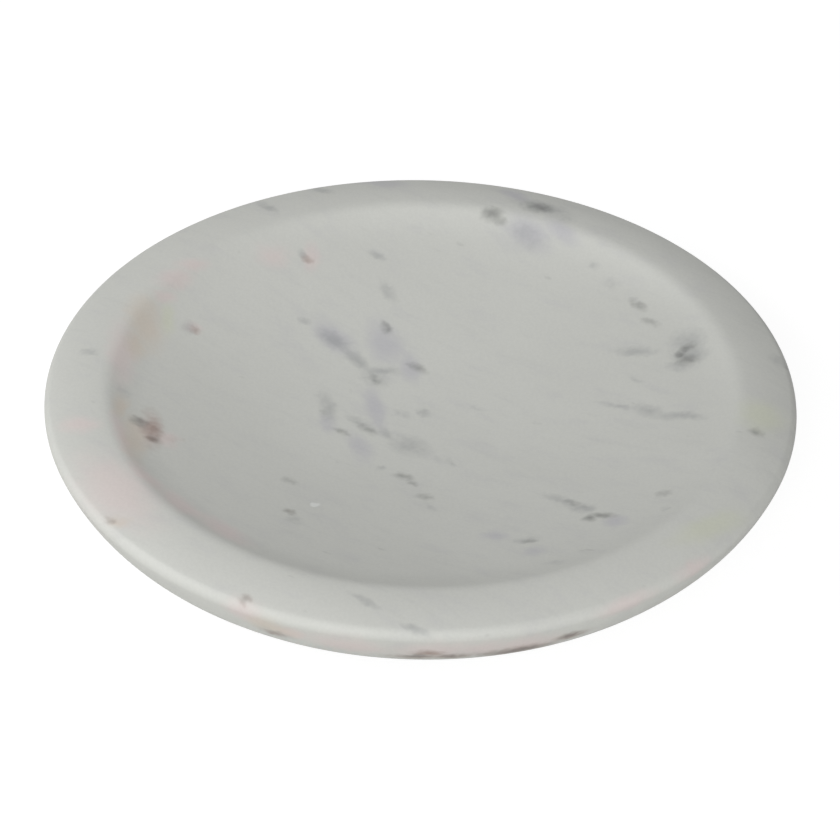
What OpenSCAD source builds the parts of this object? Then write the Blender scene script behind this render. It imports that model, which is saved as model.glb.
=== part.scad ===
// Shallow round dish turned from one block of marble. Its broad, gently crowned
// rim rolls over into the well, and its wall curves in under the rim to a flat
// base. Felt pads, each held by a thin disc of adhesive, keep the stone off the
// table. Millimetres, +Z up. The origin is on the table, under the middle.

/* [Dish] */
// Outside diameter of the dish
bowl_d = 300; // [260:1:340]
// Height of the marble, from its base to the crest of the rim
marble_h = 36.5; // [35:0.5:50]
// Distance from the outer edge in to the edge of the flat base
base_inset = 34; // [28:0.5:35]

/* [Rim] */
// Width of the rim, from its crest to the outer edge
rim_w = 21; // [16:0.5:26]
// Radius of the rim's gentle crown
crown_r = 70; // [55:1:140]
// Radius of the rounded outer corner
corner_r = 2.7; // [1.5:0.1:5]
// Angle below level at which the corner runs on into the outer wall
wall_angle = 15; // [10:1:24]

/* [Well] */
// Depth of the well, from the crest of the rim to the middle of the floor
well_depth = 20.5; // [17:0.5:24]
// Angle of the well's side where it is steepest
side_angle = 26.5; // [25:0.5:30]
// Radius of the well's side
side_r = 70; // [50:1:85]
// Radius of the roll between the crest of the rim and the side of the well
roll_r = 12; // [6:0.5:18]

/* [Felt pads] */
// Number of felt pads under the base
pad_count = 4; // [3:1:6]
// Diameter of a felt pad
pad_d = 20; // [12:1:26]
// Thickness of a felt pad
pad_t = 2.5; // [1:0.5:5]
// Distance from the edge of the base in to the edge of a pad
pad_inset = 14; // [4:1:40]

/* [Adhesive] */
// Thickness of the adhesive disc between a pad and the base
glue_t = 0.3; // [0.1:0.1:0.6]
// How far the adhesive stops short of the pad's edge
glue_inset = 0.6; // [0.2:0.1:2]

/* [Hidden] */
// Longest straight run and largest turn in one step along a curve
step_run = 3;
step_angle = 4;
// Sides of the round shapes
round_sides = 180;

// Heights above the table
base_z = pad_t + glue_t;
crest_z = base_z + marble_h;
floor_z = crest_z - well_depth;

// Radii from the middle of the dish
edge_rad = bowl_d / 2;
base_rad = edge_rad - base_inset;
crest_rad = edge_rad - rim_w;
pad_ring_rad = base_rad - pad_inset - pad_d / 2;

// Crown of the rim: an arc that is level at the crest and falls outwards
crown_centre = [crest_rad, crest_z - crown_r];
crown_end = acos((rim_w - corner_r) / (crown_r - corner_r));

// Outer corner: a small arc that carries on from the crown
corner_centre = crown_centre + (crown_r - corner_r) * dir(crown_end);
corner_end = corner_centre + corner_r * dir(-wall_angle);

// Outer wall: the arc that leaves the corner smoothly and ends at the base
wall_drop = corner_end - [base_rad, base_z];
wall_r = (wall_drop * wall_drop) / (2 * wall_drop * dir(-wall_angle));
wall_centre = corner_end - wall_r * dir(-wall_angle);
wall_end = angle_of([base_rad, base_z] - wall_centre);

// Roll: the arc that turns down from the crest into the well
roll_centre = [crest_rad, crest_z - roll_r];
roll_end = 90 + side_angle;

// Side: the hollow arc that carries on from the roll
side_centre = roll_centre + (roll_r + side_r) * dir(roll_end);
side_end = side_angle - 90;

// Floor: the arc that carries on from the side and is level in the middle
side_rise = side_centre[1] - floor_z;
floor_r = (side_centre[0] ^ 2 + side_rise ^ 2 - side_r ^ 2) / (2 * (side_rise - side_r));
floor_centre = [0, floor_z + floor_r];
floor_end = angle_of(side_centre - floor_centre);

// Unit vector at an angle, and the angle of a vector
function dir(angle) = [cos(angle), sin(angle)];
function angle_of(v) = atan2(v[1], v[0]);

// Points along an arc, both ends included
function arc(centre, radius, from, to) =
    let (
        turn = abs(to - from),
        steps = max(ceil(turn / step_angle), ceil(radius * turn * PI / 180 / step_run))
    )
    [for (i = [0 : steps]) centre + radius * dir(from + (to - from) * i / steps)];

// Places a piece under the base, at the pad of that number
module at_pad(number) {
    rotate([0, 0, 360 * (number - 0.5) / pad_count])
        translate([pad_ring_rad, 0, 0])
            children();
}

module marble_bowl() {
    section = concat(
        [[0, base_z]],
        arc(floor_centre, floor_r, -90, floor_end),
        arc(side_centre, side_r, floor_end, side_end),
        arc(roll_centre, roll_r, roll_end, 90),
        arc(crown_centre, crown_r, 90, crown_end),
        arc(corner_centre, corner_r, crown_end, -wall_angle),
        arc(wall_centre, wall_r, -wall_angle, wall_end)
    );
    color([0.80, 0.81, 0.78])
        rotate_extrude($fn = round_sides)
            polygon(section);
}

module felt_pad(number) {
    color([0.62, 0.59, 0.54])
        at_pad(number)
            cylinder(d = pad_d, h = pad_t, $fn = round_sides);
}

module adhesive_disc(number) {
    color([0.87, 0.84, 0.70])
        at_pad(number)
            translate([0, 0, pad_t])
                cylinder(d = pad_d - 2 * glue_inset, h = glue_t, $fn = round_sides);
}

marble_bowl();
for (i = [1 : pad_count]) {
    felt_pad(i);
    adhesive_disc(i);
}
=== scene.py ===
"""Looks of a shallow marble dish on felt pads, made around its construction model."""

import math
from typing import NamedTuple

import bpy
from bpy.props import FloatProperty, FloatVectorProperty, IntProperty, PointerProperty
from mathutils import Matrix, Vector


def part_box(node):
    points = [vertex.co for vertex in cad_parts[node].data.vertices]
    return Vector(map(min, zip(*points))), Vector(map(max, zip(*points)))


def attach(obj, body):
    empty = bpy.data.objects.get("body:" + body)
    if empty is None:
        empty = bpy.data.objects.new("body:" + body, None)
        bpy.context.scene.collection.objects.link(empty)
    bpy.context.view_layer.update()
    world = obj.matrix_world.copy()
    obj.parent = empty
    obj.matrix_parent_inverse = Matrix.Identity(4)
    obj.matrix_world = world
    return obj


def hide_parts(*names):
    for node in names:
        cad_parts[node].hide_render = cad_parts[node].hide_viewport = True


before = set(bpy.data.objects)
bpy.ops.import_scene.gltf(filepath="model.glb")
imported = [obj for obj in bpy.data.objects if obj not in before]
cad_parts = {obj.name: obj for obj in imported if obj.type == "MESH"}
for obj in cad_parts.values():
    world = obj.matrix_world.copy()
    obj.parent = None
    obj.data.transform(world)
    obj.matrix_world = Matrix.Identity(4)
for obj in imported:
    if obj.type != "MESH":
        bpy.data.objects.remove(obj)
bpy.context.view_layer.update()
stone_low, stone_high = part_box("marble_bowl")

bl_info = {
    "name": "Marble Dish",
    "version": (1, 0, 0),
    "blender": (4, 5, 0),
    "location": "3D View > Sidebar > Marble Dish",
    "description": "Turns a honed marble dish, sets it on felt pads and lights it in a pale studio",
    "category": "Add Mesh",
}

MM = 0.001
FULL_TURN = 2 * math.pi
PADS = sorted(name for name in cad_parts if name.startswith("felt_pad_"))
ADHESIVES = sorted(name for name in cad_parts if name.startswith("adhesive_disc_"))


def length(name, description, default, high=1.0):
    """A size in metres for the sidebar."""
    return FloatProperty(name=name, description=description, default=default, min=0.0, max=high,
                         subtype="DISTANCE", unit="LENGTH", precision=4)


def angle(name, description, degrees):
    """An angle for the sidebar, given in degrees."""
    return FloatProperty(name=name, description=description, default=math.radians(degrees),
                         subtype="ANGLE", unit="ROTATION")


def colour(name, description, red, green, blue):
    """A colour for the sidebar, given as the 0 to 255 values of a picture."""
    linear = [to_linear(value / 255) for value in (red, green, blue)]
    return FloatVectorProperty(name=name, description=description, default=linear, size=3,
                               min=0.0, max=1.0, subtype="COLOR")


def to_linear(value):
    """A display value from 0 to 1 as scene light."""
    if value <= 0.04045:
        return value / 12.92
    return ((value + 0.055) / 1.055) ** 2.4


class DishShape(bpy.types.PropertyGroup):
    """Sizes of the turned dish. Its diameter and height come from the frame."""

    rim_width: length("Rim width", "From the crest of the rim to the outer edge", 21 * MM)
    crown_radius: length("Crown radius", "Radius of the rim's gentle crown", 70 * MM)
    corner_radius: length("Corner radius", "Radius of the rounded outer corner", 4.0 * MM)
    wall_angle: angle("Wall angle", "Angle below level where the corner meets the wall", 18.1)
    base_inset: length("Base inset", "From the outer edge in to the flat base", 34 * MM)
    well_depth: length("Well depth", "From the crest of the rim to the middle of the floor", 20.5 * MM)
    side_angle: angle("Side angle", "Slope of the well's side where it is steepest", 26.5)
    side_radius: length("Side radius", "Radius of the well's hollow side", 70 * MM)
    roll_radius: length("Roll radius", "Radius of the roll from the rim into the well", 12 * MM)
    well_shift: length("Well shift", "How far the hollow lies to the right of the rim's middle", 1.2 * MM)
    waviness: length("Waviness", "How deep the hand-honed surface dips below the true shape", 0.12 * MM)
    wave_length: length("Wave length", "Distance between two dips of the honed surface", 45 * MM)
    ring_spacing: length("Ring spacing", "Longest step between two rings of the mesh", 1.5 * MM)
    segments: IntProperty(name="Segments", description="Steps round the dish", default=288, min=24)


class StoneLook(bpy.types.PropertyGroup):
    """Colours and finish of the marble."""

    pale: colour("Pale", "The lighter tone of the stone's ground", 198, 199, 194)
    grey: colour("Grey", "The darker tone of the stone's ground", 194, 195, 190)
    # Fleck is the stone's own flecks, and low on the front of the outer wall partly painted shade
    fleck_and_shade: colour("Fleck", "Dark mineral flecks", 92, 93, 91)
    # Rust is the stone's own brown, and low on the front of the outer wall partly painted shade
    rust_and_shade: colour("Rust", "Brown iron spots", 126, 100, 86)
    cloud: colour("Cloud", "Lilac-grey clouds", 176, 175, 182)
    # Blush is the stone's own pink, and on the front of the outer wall partly a painted warm reflection
    blush_and_reflection: colour("Blush", "Faint pink bands", 209, 193, 191)
    # Khaki is partly the stone's own sandy brown and partly painted shade on the left side of the well
    khaki_and_shade: colour("Khaki", "Faint sandy-brown patches", 198, 186, 172)
    honey: colour("Honey", "Faint yellow-green tint", 196, 199, 180)
    thread: colour("Thread", "Thin grey threads", 138, 140, 142)
    speck: colour("Speck", "Small bright crystals", 224, 226, 224)
    cloud_size: length("Cloud size", "Distance between two shades of the ground", 75 * MM)
    mottle_size: length("Mottle size", "Distance between two mottles of the ground", 9 * MM)
    streak_size: length("Streak size", "Distance between two faint streaks of the ground", 3.4 * MM)
    sparse_size: length("Sparse size", "Distance between two faint flecks of the ground", 5 * MM)
    grain_size: length("Grain size", "Width of one crystal of the stone", 1.2 * MM)
    fabric_turn: angle("Fabric turn", "Direction in which the stone's markings run", -33)
    roughness: FloatProperty(name="Roughness", description="How matt the honed surface is",
                             default=0.62, min=0.0, max=1.0, subtype="FACTOR")


class PadLook(bpy.types.PropertyGroup):
    """Shape and colours of the felt pads and their adhesive."""

    edge_radius: length("Edge radius", "Radius of a pad's pressed edge", 0.5 * MM)
    unevenness: length("Unevenness", "How deep the felt dips", 0.12 * MM)
    dip_spacing: length("Dip spacing", "Distance between two dips of the felt", 3.5 * MM)
    fibres: IntProperty(name="Fibres", description="Loose fibres round a pad's edge", default=260, min=0)
    fibre_length: length("Fibre length", "Length of a loose fibre", 1.3 * MM)
    fibre_width: length("Fibre width", "Thickness of a loose fibre", 0.035 * MM)
    felt: colour("Felt", "Pressed wool felt", 158, 151, 139)
    felt_dark: colour("Felt shade", "Darker fibres in the felt", 122, 115, 104)
    adhesive: colour("Adhesive", "Pale acrylic film", 222, 214, 182)


class StudioLook(bpy.types.PropertyGroup):
    """Camera, lamps and floor."""

    camera_distance: length("Camera distance", "From the lens to the dish", 1.5, high=10.0)
    camera_height: angle("Camera height", "Angle of the camera above level", 37.26)
    camera_roll: angle("Camera roll", "Tilt of the camera about its own axis", 1.14)
    camera_lens: FloatProperty(name="Lens", description="Focal length on a 36 mm sensor", default=160.8,
                               unit="CAMERA")
    camera_aim: angle("Camera aim", "How far below the dish's edge plane the camera points", 0.388)
    camera_side: length("Camera side", "How far left of the dish's middle the camera stands", 0.34 * MM)
    side_power: FloatProperty(name="Side power", description="Power of the lamp on the left", default=3.34,
                              unit="POWER")
    front_power: FloatProperty(name="Front power", description="Power of the low lamp at the front",
                               default=39.7, unit="POWER")
    fill: FloatProperty(name="Fill", description="Strength of the white surroundings as light",
                        default=0.34)
    floor: colour("Floor", "The pale floor", 208, 208, 206)
    floor_size: length("Floor size", "Width of the floor", 8.0, high=100.0)
    floor_glow: FloatProperty(name="Floor glow", description="How white the floor looks in full shadow",
                              default=0.87)
    floor_shade: FloatProperty(name="Floor shade", description="How much of the light on the floor shows",
                               default=0.24)


def direction(turn):
    """Unit vector at an angle in the plane of the section, as (outwards, upwards)."""
    return Vector((math.cos(turn), math.sin(turn)))


def turn_of(vector):
    """The angle of a vector in the plane of the section."""
    return math.atan2(vector.y, vector.x)


class Arc(NamedTuple):
    """One arc of the dish's section, from one angle to another."""

    centre: Vector
    radius: float
    start: float
    end: float

    def points(self, longest_step):
        """Points along the arc without its last one."""
        largest_turn = math.radians(6)
        sweep = abs(self.end - self.start)
        steps = max(math.ceil(sweep / largest_turn), math.ceil(sweep * self.radius / longest_step))
        return [self.centre + self.radius * direction(self.start + (self.end - self.start) * step / steps)
                for step in range(steps)]


class Section(NamedTuple):
    """The arcs of the dish's section, from the middle of the well to the edge of the base."""

    floor: Arc
    side: Arc
    roll: Arc
    crown: Arc
    corner: Arc
    wall: Arc


class Layer(NamedTuple):
    """A colour laid over the stone's ground by noise, which starts to show at low and shows most at high.
    Size names the sidebar's size of that noise, and a threadlike layer is drawn out further."""

    colour: str
    size: str
    seed: int
    detail: float
    rough: float
    low: float
    high: float
    most: float
    threadlike: bool = False


class Mark(NamedTuple):
    """One marking in the stone, in mm and degrees: its middle seen from above, its length, width and turn.
    Strength is 1 where its core lies in the surface and less where it is buried. Z is the height of a
    marking on the outer wall."""

    x: float
    y: float
    long: float
    wide: float
    turn: float = -35
    strength: float = 1
    z: float | None = None


class Vein(NamedTuple):
    """Markings of one colour, which show up to most. High is how near a core the colour is full, ragged
    how far it is broken up, and gaps the noise that breaks it up."""

    colour: str
    most: float
    high: float
    ragged: float
    gaps: str
    marks: tuple


# Smooth noise mostly keeps to this part of its range
NOISE_RANGE = (0.3, 0.7)

# How far noise on the stone is drawn out along the stone's fabric, across it and upwards
FABRIC_STRETCH = (2.2, 1.0, 1.3)
THREAD_STRETCH = (6.0, 1.0, 2.0)

# Least depth of a marking on the level surfaces, in mm
LEAST_DEPTH = 5.0

# How far apart two seeds that follow each other read the noise, in mm
SEED_STEP = (731.0, 317.0, 173.0)

# Colours of the stone's ground, each laid over the one before
GROUND = (
    Layer("pale", "cloud_size", seed=13, detail=2.0, rough=0.5, low=0.36, high=0.62, most=1.0),
    Layer("cloud", "mottle_size", seed=2, detail=3.0, rough=0.6, low=0.50, high=0.74, most=0.16),
    Layer("thread", "streak_size", seed=5, detail=2.0, rough=0.5, low=0.54, high=0.78, most=0.05,
          threadlike=True),
    Layer("fleck_and_shade", "sparse_size", seed=9, detail=2.0, rough=0.55, low=0.70, high=0.82, most=0.15),
)

# Markings of the stone where they lie, each colour over the one before, some partly painted shade and warm
# reflection
VEINS = (
    Vein("blush_and_reflection", most=0.55, high=0.7, ragged=0.4, gaps="wide", marks=(
        Mark(-103, 69, 16, 11, 33), Mark(-96, 79, 15, 8, 16), Mark(-106, 58, 9, 7, 24),
        Mark(-64, 94, 15, 13, 20, 0.8), Mark(-47, 96, 16, 7, -88, 0.9), Mark(-121, 18, 38, 11, -86),
        Mark(-117, -36, 27, 6, -74), Mark(-106, -62, 23, 8, -53), Mark(-91, -77, 24, 10, -46),
        Mark(-74, -91, 26, 11, -45, 0.9), Mark(-116, -72, 46, 23, -56, 0.9),
        Mark(-134, -31, 15, 10, -6, 0.9), Mark(-94, 44, 8, 7, -30, 0.7), Mark(-100, -30, 11, 10, 20),
        Mark(-106, -27, 9, 20, 0), Mark(-65, -135, 14, 10, -20, 0.8),
        # The blush marks with a height make a pink band along the front of the outer wall, where it turns
        # downwards: partly the stone's own pink, partly a painted warm reflection
        Mark(-46, -141, 11, 8, -18, 0.8, 29), Mark(24, -145, 24, 12, 9, 1, 26),
        Mark(-25, -145, 30, 12, -10, 1, 26), Mark(8, -147, 30, 12, 3, 1, 26),
        Mark(40, -141, 28, 12, 16, 1, 25), Mark(78, -128, 24, 7, 30, 0.8, 35),
        Mark(104, -107, 16, 7, 46, 0.9, 35.5),
    )),
    Vein("khaki_and_shade", most=0.60, high=0.7, ragged=0.4, gaps="wide", marks=(
        # The first four khaki marks darken the left side of the well, which faces away from the side lamp:
        # partly the stone's own sandy brown, partly painted shade
        Mark(-113, 40, 30, 15, -80), Mark(-116, 26, 16, 10, -80), Mark(-119, -16, 14, 7, -86),
        Mark(-112, -36, 30, 10, -86), Mark(-113, -89, 9, 7, -9, 0.7), Mark(-54, -138, 18, 10, -20, 1, 28),
    )),
    Vein("honey", most=0.65, high=0.7, ragged=0.4, gaps="wide", marks=(
        Mark(135, -17, 20, 17, -80), Mark(110, -87, 30, 11, 35), Mark(-104, 46, 18, 6, -86),
    )),
    Vein("cloud", most=0.60, high=0.7, ragged=0.4, gaps="wide", marks=(
        Mark(-36, 50, 21, 11, -46), Mark(-15, 50, 26, 13, -75), Mark(-5, 35, 18, 8, -75),
        Mark(-18, 8, 27, 7, -80, 0.9), Mark(-24, -18, 20, 8, -72, 0.8), Mark(-37, -3, 12, 7, -78, 0.8),
        Mark(44, 111, 23, 13, -52), Mark(58, 109, 18, 9, -45), Mark(39, 135, 13, 8, -37, 0.9),
        Mark(76, -76, 9, 8, -30), Mark(30, -81, 11, 9, -4, 0.7), Mark(45, -94, 8, 8, -8, 0.7),
        Mark(-17, 143, 24, 8, -10, 0.7),
    )),
    Vein("thread", most=0.50, high=0.8, ragged=0.3, gaps="fine", marks=(
        Mark(-36, 49, 15, 6.5, -38), Mark(-27, 39, 18, 6, -53, 0.85), Mark(-17, 32, 14, 5, 0, 0.8),
        Mark(-19.5, 29, 13, 9, -41, 0.68), Mark(-38, 7, 17, 6.5, -73, 0.7),
        Mark(-22.5, -3, 15, 5.5, -38, 0.62), Mark(-13, -9, 11, 5, -57, 0.65),
        Mark(-4, -15.5, 18, 11, -27, 0.7), Mark(9, -25, 10, 4, -30, 0.5), Mark(12, -26, 8, 3, -55, 0.5),
        Mark(4, -58, 7, 3, -56, 0.5), Mark(-8, 5, 9, 5, -21, 0.55), Mark(1, 7, 7, 4, -35, 0.55),
        Mark(50, 125, 23, 9, -25, 0.85), Mark(59, 118, 9, 6, -29, 0.58), Mark(39, 135, 8, 4, -37, 0.3),
        Mark(44, 112, 18, 11, -52, 0.42), Mark(45, 108.5, 10, 4.5, -77, 0.4),
        Mark(71, 91, 5, 3.5, -10, 0.5), Mark(110, 39, 15, 13, -20, 0.65),
        Mark(109, 30.5, 14, 11, -19, 0.85), Mark(106, 24, 12, 6, -18, 0.6),
        Mark(91, 36.5, 22, 5, -12, 0.7), Mark(87, 20, 7, 2.6, -37, 0.4), Mark(81, 4, 17, 3, -26, 0.5),
        Mark(92.5, -2, 15, 6.5, -35, 0.7), Mark(107, -9, 26, 4.5, -18, 0.7),
        Mark(144, 21.5, 13, 8, -61, 0.5), Mark(95, -73, 4, 4, -31, 0.4),
        Mark(58.5, -59, 20, 5, -38, 0.66), Mark(64, -64, 9, 6, -20, 0.9), Mark(42, -86, 9, 5.5, 8, 0.6),
        Mark(51.5, -107, 8, 5, 5, 0.4), Mark(-133, 16, 8, 5, -29, 0.6), Mark(-96, 44, 6, 8, 17, 0.6),
        Mark(-20, 99.5, 8, 4, -31, 0.55), Mark(-16, 83, 16, 5.5, -65, 0.53),
        Mark(-49, 59, 5, 4, -11, 0.6), Mark(-51, 96, 6, 3, -70, 0.65), Mark(-20, -134, 12, 3, -36, 0.75),
        Mark(-1, -147, 11, 3, -19, 0.65), Mark(-66, 122, 12, 4.5, -54, 0.7),
        Mark(-43, 136, 12, 6, -42, 0.6), Mark(-32, -29, 3.5, 2.6, 0, 0.48), Mark(-15, -32, 4, 4, 0, 0.5),
        Mark(-49, -75, 8, 6, -30, 0.6), Mark(-53.5, -138, 13, 7, -20, 0.42, 27),
        Mark(-119.5, -5, 7, 9, 0, 0.58), Mark(22.7, 9.6, 5.5, 3.4, -30, 0.55),
        Mark(132, -47, 18, 12, -70, 0.25), Mark(79, 79, 9, 7, -35, 0.42),
    )),
    Vein("rust_and_shade", most=0.75, high=0.8, ragged=0.25, gaps="fine", marks=(
        Mark(-106.5, -27, 22, 9, -86, 0.66), Mark(-108, -24.5, 5.5, 5, 20, 0.52),
        Mark(-105, -25, 5, 5, -7, 0.15), Mark(-99, -30, 10, 9, 0, 0.3),
        Mark(-106, -33, 6.5, 5.5, 4, 0.85), Mark(-111, -22.5, 6, 5, 0, 0.6),
        Mark(-49, 94, 5, 4, -26, 0.55), Mark(-93, 43, 5, 4, -48, 0.5),
        Mark(-53.5, -138, 10, 6, -20, 0.22, 27), Mark(-63.5, -132, 5, 4, -5, 0.3),
        # The rust marks with a height below lie low on the front of the outer wall, where it turns
        # downwards: partly the stone's own brown, partly painted shade
        Mark(-115.5, -88, 7, 4.5, -26, 0.38), Mark(13, -144, 14, 7, 5, 0.44, 22.5),
        Mark(58.5, -135, 13, 7, 22, 0.48, 26), Mark(5, -147, 12, 6, 0, 0.46, 25.5),
        Mark(-50, -69, 5, 4, -30, 0.45), Mark(38, -139.5, 28, 10, 16, 0.55, 22.5),
        Mark(0, -145, 20, 7, 0, 0.44, 22),
    )),
    Vein("fleck_and_shade", most=0.62, high=0.85, ragged=0.25, gaps="fine", marks=(
        Mark(-19.5, 27.3, 6.5, 4, -41, 0.54), Mark(-15, 59.5, 8, 4, -64, 0.7),
        Mark(-2, 35, 9, 4, -40, 0.7), Mark(-4.5, 37, 4.5, 3.4, -40, 0.6), Mark(-39, 4, 4, 3, -37, 0.45),
        Mark(-21, -5.5, 9, 4.4, -45, 0.6), Mark(-28, -1, 5, 3, -25, 0.22),
        Mark(-31, -8.5, 9, 3.4, -33, 0.6), Mark(1, -17, 4.5, 3, -58, 0.38),
        Mark(-6, -37, 6.5, 4, -18, 0.7), Mark(-3, -41, 5, 3.4, -52, 0.58),
        Mark(2, -52, 8, 4.6, -20, 0.54), Mark(28.5, 121, 8, 6, -28, 0.88),
        Mark(32, 118, 5.5, 4, -35, 0.65), Mark(49, 125, 12, 6, -22, 0.7),
        Mark(44, 127.5, 5.5, 4.5, -25, 0.48), Mark(89.5, 64, 6.5, 4.4, -50, 0.72),
        Mark(87.5, 68, 4.5, 3.6, -40, 0.48), Mark(95, 53, 9, 3.4, -32, 0.5), Mark(107.5, 34, 8, 3.8, 39),
        Mark(105, 31, 4.5, 4.5, 0, 0.8), Mark(108, 27, 8, 6, -12, 0.75),
        Mark(131.5, -27.5, 6.5, 5, -22, 0.65), Mark(147, 18.5, 6, 4, -76, 0.28),
        Mark(95.5, -61, 6, 5, -3, 0.42), Mark(62.5, -61, 11, 4, -38, 0.46),
        Mark(66, -72, 5, 4.2, -11, 0.9), Mark(71, -71, 8.5, 4, -12, 0.85),
        Mark(42, -87, 5.5, 3.6, 8, 0.65), Mark(-111.2, -23, 5.5, 6, 0, 0.95),
        Mark(-109, -20, 3, 3, 0, 0.42), Mark(-105, -25, 4, 4.6, -7, 0.22),
        Mark(-105.5, -33, 5.5, 5, 4, 0.7), Mark(-116.5, -88, 4.5, 3.8, -26, 0.45),
        Mark(-51, -46, 7, 4, -25, 0.6), Mark(-50, -69, 5.5, 4, -25, 0.65),
        # The fleck marks with a height below lie low on the front of the outer wall, where it turns
        # downwards: partly the stone's own flecks, partly painted shade
        Mark(-63.5, -132, 4, 3.4, -5, 0.3), Mark(0, -145, 10, 5, 0, 0.66, 21.5),
        Mark(13, -144.3, 8, 5, 5, 0.42, 22), Mark(38, -139.5, 25, 8, 16, 0.56, 21.5),
        Mark(58.5, -135.3, 9, 5, 22, 0.4, 26),
    )),
    Vein("speck", most=0.60, high=0.5, ragged=0.2, gaps="fine", marks=(
        Mark(-40, -62, 2.6, 2.6, 0),
    )),
)


def dish_section(shape):
    """The dish's section, between the frame's edge, crest and base."""
    edge = stone_high.x
    base = Vector((edge - shape.base_inset, stone_low.z))
    crest = Vector((edge - shape.rim_width, stone_high.z))
    middle = Vector((0, stone_high.z - shape.well_depth))

    crown_centre = crest - Vector((0, shape.crown_radius))
    inner_crown = shape.crown_radius - shape.corner_radius
    crown_end = math.acos((shape.rim_width - shape.corner_radius) / inner_crown)
    corner_centre = crown_centre + inner_crown * direction(crown_end)

    wall_out = direction(-shape.wall_angle)
    corner_end = corner_centre + shape.corner_radius * wall_out
    drop = corner_end - base
    wall_radius = drop.length_squared / (2 * drop.dot(wall_out))
    wall_centre = corner_end - wall_radius * wall_out

    roll_centre = crest - Vector((0, shape.roll_radius))
    roll_end = math.pi / 2 + shape.side_angle
    side_radius = shape.side_radius
    side_centre = roll_centre + (shape.roll_radius + side_radius) * direction(roll_end)
    rise = side_centre.y - middle.y
    floor_radius = (side_centre.x ** 2 + rise ** 2 - side_radius ** 2) / (2 * (rise - side_radius))
    floor_centre = middle + Vector((0, floor_radius))
    floor_end = turn_of(side_centre - floor_centre)

    level, down = math.pi / 2, -math.pi / 2
    return Section(
        floor=Arc(floor_centre, floor_radius, down, floor_end),
        side=Arc(side_centre, side_radius, floor_end, roll_end - math.pi),
        roll=Arc(roll_centre, shape.roll_radius, roll_end, level),
        crown=Arc(crown_centre, shape.crown_radius, level, crown_end),
        corner=Arc(corner_centre, shape.corner_radius, crown_end, -shape.wall_angle),
        wall=Arc(wall_centre, wall_radius, -shape.wall_angle, turn_of(base - wall_centre)),
    )


def dish_outline(shape):
    """Points down the dish's section, from the middle of the well to the middle of the base."""
    points = [point for arc in dish_section(shape) for point in arc.points(shape.ring_spacing)]
    base_edge = stone_high.x - shape.base_inset
    base_rings = 12
    for ring in range(base_rings + 1):
        points.append(Vector((base_edge * (1 - ring / base_rings), stone_low.z)))
    return points


def pad_outline(look, radius, top):
    """Points down a pad's section, from the middle of its top to the middle of its underside."""
    edge = look.edge_radius
    edge_step = edge / 4
    flat_rings = side_rings = 8
    inner, straight = radius - edge, top - 2 * edge
    flat = [Vector((inner * ring / flat_rings, top)) for ring in range(flat_rings)]
    upper = Arc(Vector((inner, top - edge)), edge, math.pi / 2, 0).points(edge_step)
    side = [Vector((radius, top - edge - straight * ring / side_rings)) for ring in range(side_rings)]
    lower = Arc(Vector((inner, edge)), edge, 0, -math.pi / 2).points(edge_step)
    underside = [Vector((point.x, 0)) for point in reversed(flat)]
    return flat + upper + side + lower + [Vector((inner, 0))] + underside


def outline_object(points):
    """A line of vertices through the points of a section."""
    mesh = bpy.data.meshes.new("outline")
    mesh.from_pydata([(point.x, 0, point.y) for point in points],
                     [(index, index + 1) for index in range(len(points) - 1)], [])
    made = bpy.data.objects.new("outline", mesh)
    bpy.context.scene.collection.objects.link(made)
    return made


def node(tree, kind, inputs=None, **settings):
    """Adds a node with its settings, and links each input, by name or place, or sets it to a value."""
    made = tree.nodes.new(kind)
    for name, value in settings.items():
        setattr(made, name, value)
    for key, value in (inputs or {}).items():
        if isinstance(value, bpy.types.NodeSocket):
            tree.links.new(value, made.inputs[key])
        else:
            made.inputs[key].default_value = value
    return made


def math_node(tree, operation, *values, clamp=False):
    """The result of one sum on numbers."""
    return node(tree, "ShaderNodeMath", dict(enumerate(values)), operation=operation,
                use_clamp=clamp).outputs[0]


def vector_node(tree, operation, *values, **named):
    """The result of one sum on vectors."""
    return node(tree, "ShaderNodeVectorMath", {**dict(enumerate(values)), **named},
                operation=operation).outputs[0]


def new_tree(name, inputs, output):
    """A geometry node tree with named inputs, each a socket kind and its default."""
    tree = bpy.data.node_groups.new(name, "GeometryNodeTree")
    for label, (kind, default) in inputs.items():
        socket = tree.interface.new_socket(label, in_out="INPUT", socket_type="NodeSocket" + kind)
        if default is not None:
            socket.default_value = default
    tree.interface.new_socket(output, in_out="OUTPUT", socket_type="NodeSocketGeometry")
    return tree, tree.nodes.new("NodeGroupInput").outputs, tree.nodes.new("NodeGroupOutput")


def run_tree(source, tree, values, name):
    """Runs a geometry node tree on an object and returns the plain mesh object that comes out."""
    modifier = source.modifiers.new(tree.name, "NODES")
    modifier.node_group = tree
    for socket in tree.interface.items_tree:
        if socket.in_out == "INPUT" and socket.name in values:
            modifier[socket.identifier] = values[socket.name]
    graph = bpy.context.evaluated_depsgraph_get()
    mesh = bpy.data.meshes.new_from_object(source.evaluated_get(graph), depsgraph=graph)
    bpy.data.objects.remove(source)
    if not mesh.polygons:
        raise RuntimeError(f"{tree.name} made no faces")
    made = bpy.data.objects.new(name, mesh)
    bpy.context.scene.collection.objects.link(made)
    return made


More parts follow.
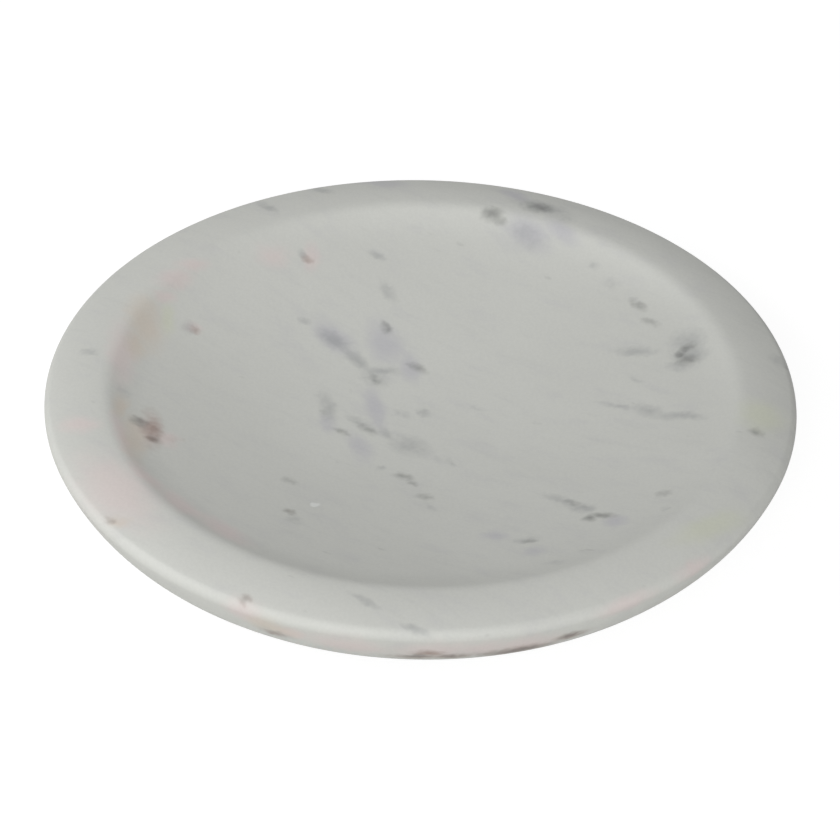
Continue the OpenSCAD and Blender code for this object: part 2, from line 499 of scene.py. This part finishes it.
def turned_place(tree, given, rings):
    """Where each point of a square grid lies when its rows are turned into the outline's rings. The rings
    of the well are moved sideways, less and less towards the rim."""
    across, around, _ = node(tree, "ShaderNodeSeparateXYZ", {
        0: node(tree, "GeometryNodeInputPosition").outputs[0]}).outputs
    last_ring = math_node(tree, "SUBTRACT", rings, 1)
    share = math_node(tree, "ADD", across, 0.5)
    ring = math_node(tree, "ROUND", math_node(tree, "MULTIPLY", share, last_ring))
    turn = math_node(tree, "MULTIPLY", math_node(tree, "ADD", around, 0.5), FULL_TURN)
    section = node(tree, "GeometryNodeSampleIndex", {
        "Geometry": given["Outline"],
        "Value": node(tree, "GeometryNodeInputPosition").outputs[0],
        "Index": ring,
    }, data_type="FLOAT_VECTOR", domain="POINT")
    radius, _, height = node(tree, "ShaderNodeSeparateXYZ", {0: section.outputs[0]}).outputs
    in_well = math_node(tree, "MULTIPLY", math_node(tree, "LESS_THAN", ring, given["Well rings"]),
                        ramp(tree, radius, given["Rim radius"], given["Well radius"]))
    shift = math_node(tree, "MULTIPLY", in_well, given["Well shift"])
    return node(tree, "ShaderNodeCombineXYZ", {
        "X": math_node(tree, "MULTIPLY_ADD", radius, math_node(tree, "COSINE", turn), shift),
        "Y": math_node(tree, "MULTIPLY", radius, math_node(tree, "SINE", turn)),
        "Z": height,
    }).outputs[0]


def dip_inwards(tree, given):
    """How far and which way the surface dips. At its foot it doesn't dip at all."""
    here = node(tree, "GeometryNodeInputPosition").outputs[0]
    waves = node(tree, "ShaderNodeTexNoise", {
        "Vector": here,
        "W": given["Seed"],
        "Scale": math_node(tree, "DIVIDE", 1.0, given["Wave length"]),
        "Detail": 1.0,
    }, noise_dimensions="4D").outputs[0]
    height = node(tree, "ShaderNodeSeparateXYZ", {0: here}).outputs[2]
    above_foot = math_node(tree, "SUBTRACT", height, given["Foot"])
    free = math_node(tree, "DIVIDE", above_foot, given["Fade"], clamp=True)
    dip = math_node(tree, "MULTIPLY", math_node(tree, "MULTIPLY", waves, free), given["Waviness"])
    return vector_node(tree, "SCALE", node(tree, "GeometryNodeInputNormal").outputs[0],
                       Scale=math_node(tree, "MULTIPLY", dip, -1.0))


def lathe_tree():
    """Turns an outline about the upright axis and lets the surface dip a little above its foot."""
    tree, given, out = new_tree("Lathe", {
        "Outline": ("Geometry", None),
        "Segments": ("Int", 288),
        "Well shift": ("Float", 0.0),
        "Well rings": ("Int", 0),
        "Well radius": ("Float", 0.0),
        "Rim radius": ("Float", 1.0),
        "Waviness": ("Float", 0.0),
        "Wave length": ("Float", 50 * MM),
        "Foot": ("Float", 0.0),
        "Fade": ("Float", 5 * MM),
        "Seed": ("Int", 4),
        "Material": ("Material", None),
    }, "Turned piece")
    rings = node(tree, "GeometryNodeAttributeDomainSize", {0: given["Outline"]}).outputs["Point Count"]
    grid = node(tree, "GeometryNodeMeshGrid", {
        "Size X": 1.0,
        "Size Y": 1.0,
        "Vertices X": rings,
        "Vertices Y": math_node(tree, "ADD", given["Segments"], 1),
    }).outputs["Mesh"]
    shell = node(tree, "GeometryNodeSetPosition", {
        "Geometry": grid, "Position": turned_place(tree, given, rings)}).outputs[0]
    weld = 0.01 * MM
    closed = node(tree, "GeometryNodeMergeByDistance", {"Geometry": shell, "Distance": weld}).outputs[0]
    uneven = node(tree, "GeometryNodeSetPosition", {
        "Geometry": closed, "Offset": dip_inwards(tree, given)}).outputs[0]
    smooth = node(tree, "GeometryNodeSetShadeSmooth", {"Geometry": uneven}).outputs[0]
    finish_tree(tree, smooth, given["Material"], out)
    return tree


def finish_tree(tree, shape, material, out):
    """Ends a geometry node tree with real geometry in one material."""
    real = node(tree, "GeometryNodeRealizeInstances", {"Geometry": shape}).outputs[0]
    dressed = node(tree, "GeometryNodeSetMaterial", {"Geometry": real, "Material": material}).outputs[0]
    tree.links.new(dressed, out.inputs[0])


def fibre_tree():
    """Lays short loose fibres flat on the upright sides of a felt pad."""
    tree, given, out = new_tree("Felt fibres", {
        "Pad": ("Geometry", None),
        "Density": ("Float", 1e6),
        "Length": ("Float", 1.0 * MM),
        "Width": ("Float", 0.03 * MM),
        "Low": ("Float", 0.0),
        "High": ("Float", 2.0 * MM),
        "Seed": ("Int", 0),
        "Material": ("Material", None),
    }, "Felt pad")
    place = node(tree, "GeometryNodeInputPosition").outputs[0]
    height = node(tree, "ShaderNodeSeparateXYZ", {0: place}).outputs[2]
    above = node(tree, "FunctionNodeCompare", {0: height, 1: given["Low"]},
                 operation="GREATER_THAN").outputs[0]
    below = node(tree, "FunctionNodeCompare", {0: height, 1: given["High"]},
                 operation="LESS_THAN").outputs[0]
    on_side = node(tree, "FunctionNodeBooleanMath", {0: above, 1: below}, operation="AND").outputs[0]
    points = node(tree, "GeometryNodeDistributePointsOnFaces", {
        "Mesh": given["Pad"], "Selection": on_side, "Density": given["Density"], "Seed": given["Seed"]})
    half = math_node(tree, "MULTIPLY", given["Length"], 0.5)
    bow = math_node(tree, "MULTIPLY", half, 0.7)
    start = node(tree, "ShaderNodeCombineXYZ", {"X": math_node(tree, "MULTIPLY", half, -1.0)}).outputs[0]
    middle = node(tree, "ShaderNodeCombineXYZ", {"Y": bow}).outputs[0]
    end = node(tree, "ShaderNodeCombineXYZ", {"X": half}).outputs[0]
    curve = node(tree, "GeometryNodeCurveQuadraticBezier", {
        "Resolution": 4, "Start": start, "Middle": middle, "End": end}).outputs[0]
    profile = node(tree, "GeometryNodeCurvePrimitiveCircle", {
        "Resolution": 3, "Radius": math_node(tree, "MULTIPLY", given["Width"], 0.5)}).outputs[0]
    fibre = node(tree, "GeometryNodeCurveToMesh", {"Curve": curve, "Profile Curve": profile,
                                                   "Fill Caps": True}).outputs[0]
    upright = node(tree, "FunctionNodeAlignRotationToVector", {"Vector": points.outputs["Normal"]},
                   axis="Z")
    spin = node(tree, "FunctionNodeRandomValue", {
        "Min": (0, 0, 0), "Max": (0, 0, FULL_TURN), "Seed": given["Seed"],
    }, data_type="FLOAT_VECTOR").outputs[0]
    turned = node(tree, "FunctionNodeRotateRotation", {"Rotation": upright.outputs[0], "Rotate By": spin},
                  rotation_space="LOCAL").outputs[0]
    laid = node(tree, "GeometryNodeInstanceOnPoints", {
        "Points": points.outputs["Points"], "Instance": fibre, "Rotation": turned}).outputs[0]
    joined = tree.nodes.new("GeometryNodeJoinGeometry")
    tree.links.new(laid, joined.inputs[0])
    tree.links.new(given["Pad"], joined.inputs[0])
    finish_tree(tree, joined.outputs[0], given["Material"], out)
    return tree


def new_material(name):
    """An empty node material and its shader."""
    material = bpy.data.materials.new(name)
    material.use_nodes = True
    tree = material.node_tree
    tree.nodes.clear()
    shader = tree.nodes.new("ShaderNodeBsdfPrincipled")
    output = tree.nodes.new("ShaderNodeOutputMaterial")
    tree.links.new(shader.outputs[0], output.inputs["Surface"])
    return material, tree, shader


def place_in_mm(tree):
    """The place on the piece, in millimetres."""
    place = node(tree, "ShaderNodeTexCoord").outputs["Object"]
    return vector_node(tree, "SCALE", place, Scale=1 / MM)


def seen_from(tree, point, size, rotation, middle=(0.0, 0.0, 0.0)):
    """The point as a shape with that size, rotation and middle sees it, so that a pattern on it is drawn
    out and turned in the same way."""
    return node(tree, "ShaderNodeMapping", {"Vector": point, "Location": middle, "Rotation": rotation,
                                            "Scale": size}, vector_type="TEXTURE").outputs[0]


def noise(tree, point, size, seed=0, detail=2.0, rough=0.5, output=0):
    """Smooth noise whose features are about that size, in the point's own unit. Output 0 is a number, and
    output 1 a vector."""
    apart = vector_node(tree, "ADD", point, [seed * step for step in SEED_STEP])
    return node(tree, "ShaderNodeTexNoise", {"Vector": apart, "Scale": 1 / size, "Detail": detail,
                                             "Roughness": rough}).outputs[output]


def ramp(tree, value, low, high, start=0.0, end=1.0):
    """Eases from start to end as the value goes from low to high."""
    return node(tree, "ShaderNodeMapRange", {0: value, 1: low, 2: high, 3: start, 4: end},
                interpolation_type="SMOOTHSTEP").outputs[0]


def blend(tree, factor, first, second):
    """Mixes two colours."""
    return node(tree, "ShaderNodeMix", {0: factor, 6: first, 7: second}, data_type="RGBA").outputs[2]


def rgba(swatch):
    """A colour of the sidebar for a node."""
    return (*swatch, 1)


def shaken(tree, point, amount, size, seed):
    """The point moved about by smooth noise."""
    drift = noise(tree, point, size, seed, detail=0.0, output=1)
    push = vector_node(tree, "SUBTRACT", drift, (0.5, 0.5, 0.5))
    return vector_node(tree, "ADD", point, vector_node(tree, "SCALE", push, Scale=amount))


def add_relief(tree, shader, height, strength, depth):
    """Shades the surface as if it rose and fell with the height by that depth."""
    bump = node(tree, "ShaderNodeBump", {"Strength": strength, "Distance": depth, "Height": height})
    tree.links.new(bump.outputs[0], shader.inputs["Normal"])


def surface_height(outline, x, y):
    """Height of the dish's upper side at a place, in millimetres."""
    radius = math.hypot(x, y) * MM
    for inner, outer in zip(outline, outline[1:]):
        if outer.x >= radius:
            share = (radius - inner.x) / (outer.x - inner.x)
            return (inner.y + share * (outer.y - inner.y)) / MM
        if outer.x < inner.x:
            return inner.y / MM
    raise ValueError(f"no stone at {x}, {y}")


def vein_mask(tree, point, vein, gaps, outline):
    """How strongly the markings of one colour show."""
    shown = 0.0
    for mark in vein.marks:
        on_wall = mark.z is not None
        height = mark.z if on_wall else surface_height(outline, mark.x, mark.y)
        deep = mark.wide if on_wall else max(mark.wide, LEAST_DEPTH)
        buried = height - (1 - mark.strength) * deep
        inside = seen_from(tree, point, (mark.long, mark.wide, deep), (0, 0, math.radians(mark.turn)),
                           (mark.x, mark.y, buried))
        near = node(tree, "ShaderNodeTexGradient", {"Vector": inside}, gradient_type="SPHERICAL").outputs[1]
        shown = math_node(tree, "MAXIMUM", near, shown)
    broken = math_node(tree, "MULTIPLY_ADD", gaps, -vein.ragged, shown)
    return ramp(tree, broken, 0.0, vein.high, 0.0, vein.most)


def marble_ground(tree, look, along, threads):
    """The clouded ground of the stone, and its mottle."""
    laid, fields = rgba(look.grey), {}
    for layer in GROUND:
        field = noise(tree, threads if layer.threadlike else along, getattr(look, layer.size) / MM,
                      layer.seed, layer.detail, layer.rough)
        shown = ramp(tree, field, layer.low, layer.high, 0.0, layer.most)
        laid = blend(tree, shown, laid, rgba(getattr(look, layer.colour)))
        fields[layer.size] = field
    return laid, fields["mottle_size"]


def marble_material(look, shape):
    """Honed marble: a pale clouded ground, its markings where they lie, in part painted shade and warm
    reflection, and a few more all round.
    """
    material, tree, shader = new_material("honed_marble")
    point = place_in_mm(tree)
    along = seen_from(tree, point, FABRIC_STRETCH, (0, 0, look.fabric_turn))
    threads = seen_from(tree, point, THREAD_STRETCH, (0, 0, look.fabric_turn))
    laid, mottle = marble_ground(tree, look, along, threads)

    swayed = shaken(tree, point, amount=2.6, size=9.0, seed=6)
    moved = shaken(tree, swayed, amount=1.6, size=2.5, seed=7)
    gaps = {"wide": noise(tree, along, size=6.0, seed=3, detail=3.0, rough=0.6),
            "fine": noise(tree, point, size=2.8, seed=8)}
    outline = dish_outline(shape)
    for vein in VEINS:
        mask = vein_mask(tree, moved, vein, gaps[vein.gaps], outline)
        laid = blend(tree, mask, laid, rgba(getattr(look, vein.colour)))

    grain_contrast, shine_spread = 0.015, 0.04
    grain = noise(tree, point, look.grain_size / MM, seed=4, detail=1.0)
    brightness = ramp(tree, grain, *NOISE_RANGE, 1 - grain_contrast, 1 + grain_contrast)
    tree.links.new(vector_node(tree, "SCALE", laid, Scale=brightness), shader.inputs["Base Color"])
    rough = ramp(tree, mottle, *NOISE_RANGE, look.roughness - shine_spread, look.roughness + shine_spread)
    tree.links.new(rough, shader.inputs["Roughness"])
    add_relief(tree, shader, grain, strength=0.3, depth=0.01 * MM)
    return material


def felt_material(look):
    """Pressed wool felt: matted short fibres of two shades."""
    material, tree, shader = new_material("wool_felt")
    matted = shaken(tree, place_in_mm(tree), amount=1.6, size=1.2, seed=1)
    hair_width, hair_stretch, hair_tilt = 0.12, (7.0, 1.0, 1.0), (0.3, 0.2)
    hairs = []
    for number, turn in enumerate((20, 80, 140)):
        lain = seen_from(tree, matted, hair_stretch, (*hair_tilt, math.radians(turn)))
        hairs.append(noise(tree, lain, hair_width, seed=number))
    top_hair = math_node(tree, "MAXIMUM", math_node(tree, "MAXIMUM", hairs[0], hairs[1]), hairs[2])
    shade = ramp(tree, top_hair, low=0.45, high=0.68)
    tree.links.new(blend(tree, shade, rgba(look.felt_dark), rgba(look.felt)), shader.inputs["Base Color"])
    add_relief(tree, shader, top_hair, strength=0.6, depth=0.05 * MM)
    shader.inputs["Roughness"].default_value = 0.95
    shader.inputs["Sheen Weight"].default_value = 0.25
    shader.inputs["Sheen Roughness"].default_value = 0.6
    return material


def adhesive_material(look):
    """A pale acrylic film with a few trapped bubbles."""
    material, tree, shader = new_material("adhesive_film")
    pale_streak, pale_bubble = (0.86, 0.84, 0.76, 1), (0.9, 0.9, 0.87, 1)
    point = place_in_mm(tree)
    cell = node(tree, "ShaderNodeTexVoronoi", {"Vector": point, "Scale": 0.9},
                distance="EUCLIDEAN").outputs["Distance"]
    bubble = ramp(tree, cell, low=0.10, high=0.16, start=1.0, end=0.0)
    streak = ramp(tree, noise(tree, point, size=3.0, seed=2), low=0.4, high=0.6, end=0.35)
    film = blend(tree, streak, rgba(look.adhesive), pale_streak)
    tree.links.new(blend(tree, math_node(tree, "MULTIPLY", bubble, 0.5), film, pale_bubble),
                   shader.inputs["Base Color"])
    add_relief(tree, shader, bubble, strength=0.5, depth=0.02 * MM)
    shader.inputs["Roughness"].default_value = 0.35
    return material


class DISH_OT_turn_dish(bpy.types.Operator):
    """Turn the marble dish on its lathe and give it its stone"""

    bl_idname = "marble_dish.turn_dish"
    bl_label = "Turn Dish"

    def execute(self, context):
        shape = context.scene.dish_shape
        section = dish_section(shape)
        upper_side = [point for arc in (section.floor, section.side, section.roll, section.crown)
                      for point in arc.points(shape.ring_spacing)]
        dish = run_tree(outline_object(dish_outline(shape)), lathe_tree(), {
            "Segments": shape.segments,
            "Well shift": shape.well_shift,
            "Well rings": len(upper_side),
            "Well radius": stone_high.x - shape.rim_width,
            "Rim radius": upper_side[-1].x,
            "Waviness": shape.waviness,
            "Wave length": shape.wave_length,
            "Foot": stone_low.z,
            "Material": marble_material(context.scene.stone_look, shape),
        }, "turned_dish")
        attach(dish, "root")
        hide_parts("marble_bowl")
        return {"FINISHED"}


class DISH_OT_felt_pads(bpy.types.Operator):
    """Press the felt pads and set each in its place under the base"""

    bl_idname = "marble_dish.felt_pads"
    bl_label = "Felt Pads"

    def execute(self, context):
        look = context.scene.pad_look
        felt = felt_material(look)
        turning, fluffing = lathe_tree(), fibre_tree()
        for number, name in enumerate(PADS):
            low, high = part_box(name)
            radius, top = (high.x - low.x) / 2, high.z
            pad = run_tree(outline_object(pad_outline(look, radius, top)), turning, {
                "Segments": 96,
                "Waviness": look.unevenness,
                "Wave length": look.dip_spacing,
                "Fade": 1.0 * MM,
                "Seed": number,
                "Material": felt,
            }, "plain_pad")
            # A fibre reaches at most this far from its middle
            reach = 0.55 * look.fibre_length
            band = FULL_TURN * radius * (top - 2 * reach)
            pad = run_tree(pad, fluffing, {
                "Density": look.fibres / band,
                "Length": look.fibre_length,
                "Width": look.fibre_width,
                "Low": reach,
                "High": top - reach,
                "Seed": number,
                "Material": felt,
            }, "pressed_" + name)
            middle = (low + high) / 2
            pad.data.transform(Matrix.Translation((middle.x, middle.y, 0)))
            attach(pad, "root")
            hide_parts(name)
        return {"FINISHED"}


class DISH_OT_adhesive(bpy.types.Operator):
    """Give the adhesive discs their film"""

    bl_idname = "marble_dish.adhesive"
    bl_label = "Adhesive"

    def execute(self, context):
        film = adhesive_material(context.scene.pad_look)
        for name in ADHESIVES:
            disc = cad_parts[name]
            disc.data.materials.clear()
            disc.data.materials.append(film)
        return {"FINISHED"}


def camera_matrix(look):
    """Where the camera stands and how it is turned, to see the dish as the photograph does."""
    corner = dish_section(bpy.context.scene.dish_shape).corner.centre
    target = Vector((-look.camera_side, 0, corner.y))
    back = Vector((0, -math.cos(look.camera_height), math.sin(look.camera_height)))
    turned = (-back).to_track_quat("-Z", "Y").to_matrix().to_4x4()
    aim = Matrix.Rotation(-look.camera_aim, 4, "X")
    roll = Matrix.Rotation(look.camera_roll, 4, "Z")
    return Matrix.Translation(target + back * look.camera_distance) @ turned @ roll @ aim


def seen_directly(tree):
    """1 for the rays that show the background: from the camera, off a gloss or through a clear thing."""
    rays = node(tree, "ShaderNodeLightPath").outputs
    mirrored = math_node(tree, "MAXIMUM", rays["Is Glossy Ray"], rays["Is Transmission Ray"])
    return math_node(tree, "MAXIMUM", rays["Is Camera Ray"], mirrored)


def white_surroundings(fill):
    """A world that looks white and lights the dish only as strongly as the fill."""
    world = bpy.data.worlds.new("surroundings")
    world.use_nodes = True
    tree = world.node_tree
    background = tree.nodes["Background"]
    background.inputs["Color"].default_value = (1, 1, 1, 1)
    strength = math_node(tree, "MULTIPLY_ADD", seen_directly(tree), 1 - fill, fill)
    tree.links.new(strength, background.inputs["Strength"])
    return world


def floor_material(look):
    """A floor that looks white but for the dish's soft shadow, and is a plain pale floor to the lamps."""
    material = bpy.data.materials.new("floor")
    material.use_nodes = True
    tree = material.node_tree
    tree.nodes.clear()
    glow = node(tree, "ShaderNodeEmission", {"Color": (1, 1, 1, 1), "Strength": look.floor_glow})
    shaded = node(tree, "ShaderNodeBsdfDiffuse", {"Color": (*[look.floor_shade] * 3, 1)})
    seen = node(tree, "ShaderNodeAddShader", {0: glow.outputs[0], 1: shaded.outputs[0]})
    plain = node(tree, "ShaderNodeBsdfDiffuse", {"Color": (*look.floor, 1)})
    both = node(tree, "ShaderNodeMixShader",
                {0: seen_directly(tree), 1: plain.outputs[0], 2: seen.outputs[0]})
    node(tree, "ShaderNodeOutputMaterial", {"Surface": both.outputs[0]})
    return material


def area_lamp(name, power, turn, height, distance, size):
    """A soft square lamp that points at the dish. Its turn, from +X towards +Y, and its height above level
    are in degrees."""
    lamp = bpy.data.lights.new(name, "AREA")
    lamp.energy = power
    lamp.shape = "SQUARE"
    lamp.size = size
    made = bpy.data.objects.new(name, lamp)
    away = Matrix.Rotation(math.radians(turn), 3, "Z") @ Matrix.Rotation(-math.radians(height), 3, "Y")
    made.location = away @ Vector((distance, 0, 0))
    made.rotation_mode = "QUATERNION"
    made.rotation_quaternion = (-made.location).to_track_quat("-Z", "Y")
    return made


class DISH_OT_studio(bpy.types.Operator):
    """Set the camera, the lamps and the pale floor"""

    bl_idname = "marble_dish.studio"
    bl_label = "Studio"

    def execute(self, context):
        scene = context.scene
        look = scene.studio_look
        scene.view_settings.view_transform = "Standard"

        lens = bpy.data.cameras.new("camera")
        lens.lens = look.camera_lens
        camera = bpy.data.objects.new("camera", lens)
        camera.matrix_world = camera_matrix(look)
        scene.collection.objects.link(camera)
        scene.camera = camera

        scene.world = white_surroundings(look.fill)
        for lamp in (
            area_lamp("side_lamp", look.side_power, turn=180, height=35, distance=0.9, size=0.5),
            area_lamp("front_lamp", look.front_power, turn=270, height=25, distance=2.5, size=1.4),
        ):
            scene.collection.objects.link(lamp)

        half = look.floor_size / 2
        mesh = bpy.data.meshes.new("floor")
        mesh.from_pydata([(-half, -half, 0), (half, -half, 0), (half, half, 0), (-half, half, 0)], [],
                         [(0, 1, 2, 3)])
        mesh.materials.append(floor_material(look))
        floor = bpy.data.objects.new("floor", mesh)
        scene.collection.objects.link(floor)
        return {"FINISHED"}


class DISH_PT_sidebar(bpy.types.Panel):
    """Sizes, colours and steps of the marble dish"""

    bl_label = "Marble Dish"
    bl_space_type = "VIEW_3D"
    bl_region_type = "UI"
    bl_category = "Marble Dish"

    def draw(self, context):
        for group in (context.scene.dish_shape, context.scene.stone_look, context.scene.pad_look,
                      context.scene.studio_look):
            box = self.layout.box()
            for name in group.bl_rna.properties.keys():
                if name not in ("rna_type", "name"):
                    box.prop(group, name)
        for operator in OPERATORS:
            self.layout.operator(operator.bl_idname)


OPERATORS = (DISH_OT_turn_dish, DISH_OT_felt_pads, DISH_OT_adhesive, DISH_OT_studio)
CLASSES = (DishShape, StoneLook, PadLook, StudioLook, *OPERATORS, DISH_PT_sidebar)


def register():
    for each in CLASSES:
        bpy.utils.register_class(each)
    bpy.types.Scene.dish_shape = PointerProperty(type=DishShape)
    bpy.types.Scene.stone_look = PointerProperty(type=StoneLook)
    bpy.types.Scene.pad_look = PointerProperty(type=PadLook)
    bpy.types.Scene.studio_look = PointerProperty(type=StudioLook)


def unregister():
    del bpy.types.Scene.studio_look
    del bpy.types.Scene.pad_look
    del bpy.types.Scene.stone_look
    del bpy.types.Scene.dish_shape
    for each in reversed(CLASSES):
        bpy.utils.unregister_class(each)


def main():
    register()
    bpy.ops.marble_dish.turn_dish()
    bpy.ops.marble_dish.felt_pads()
    bpy.ops.marble_dish.adhesive()
    bpy.ops.marble_dish.studio()


if __name__ == "__main__":
    main()
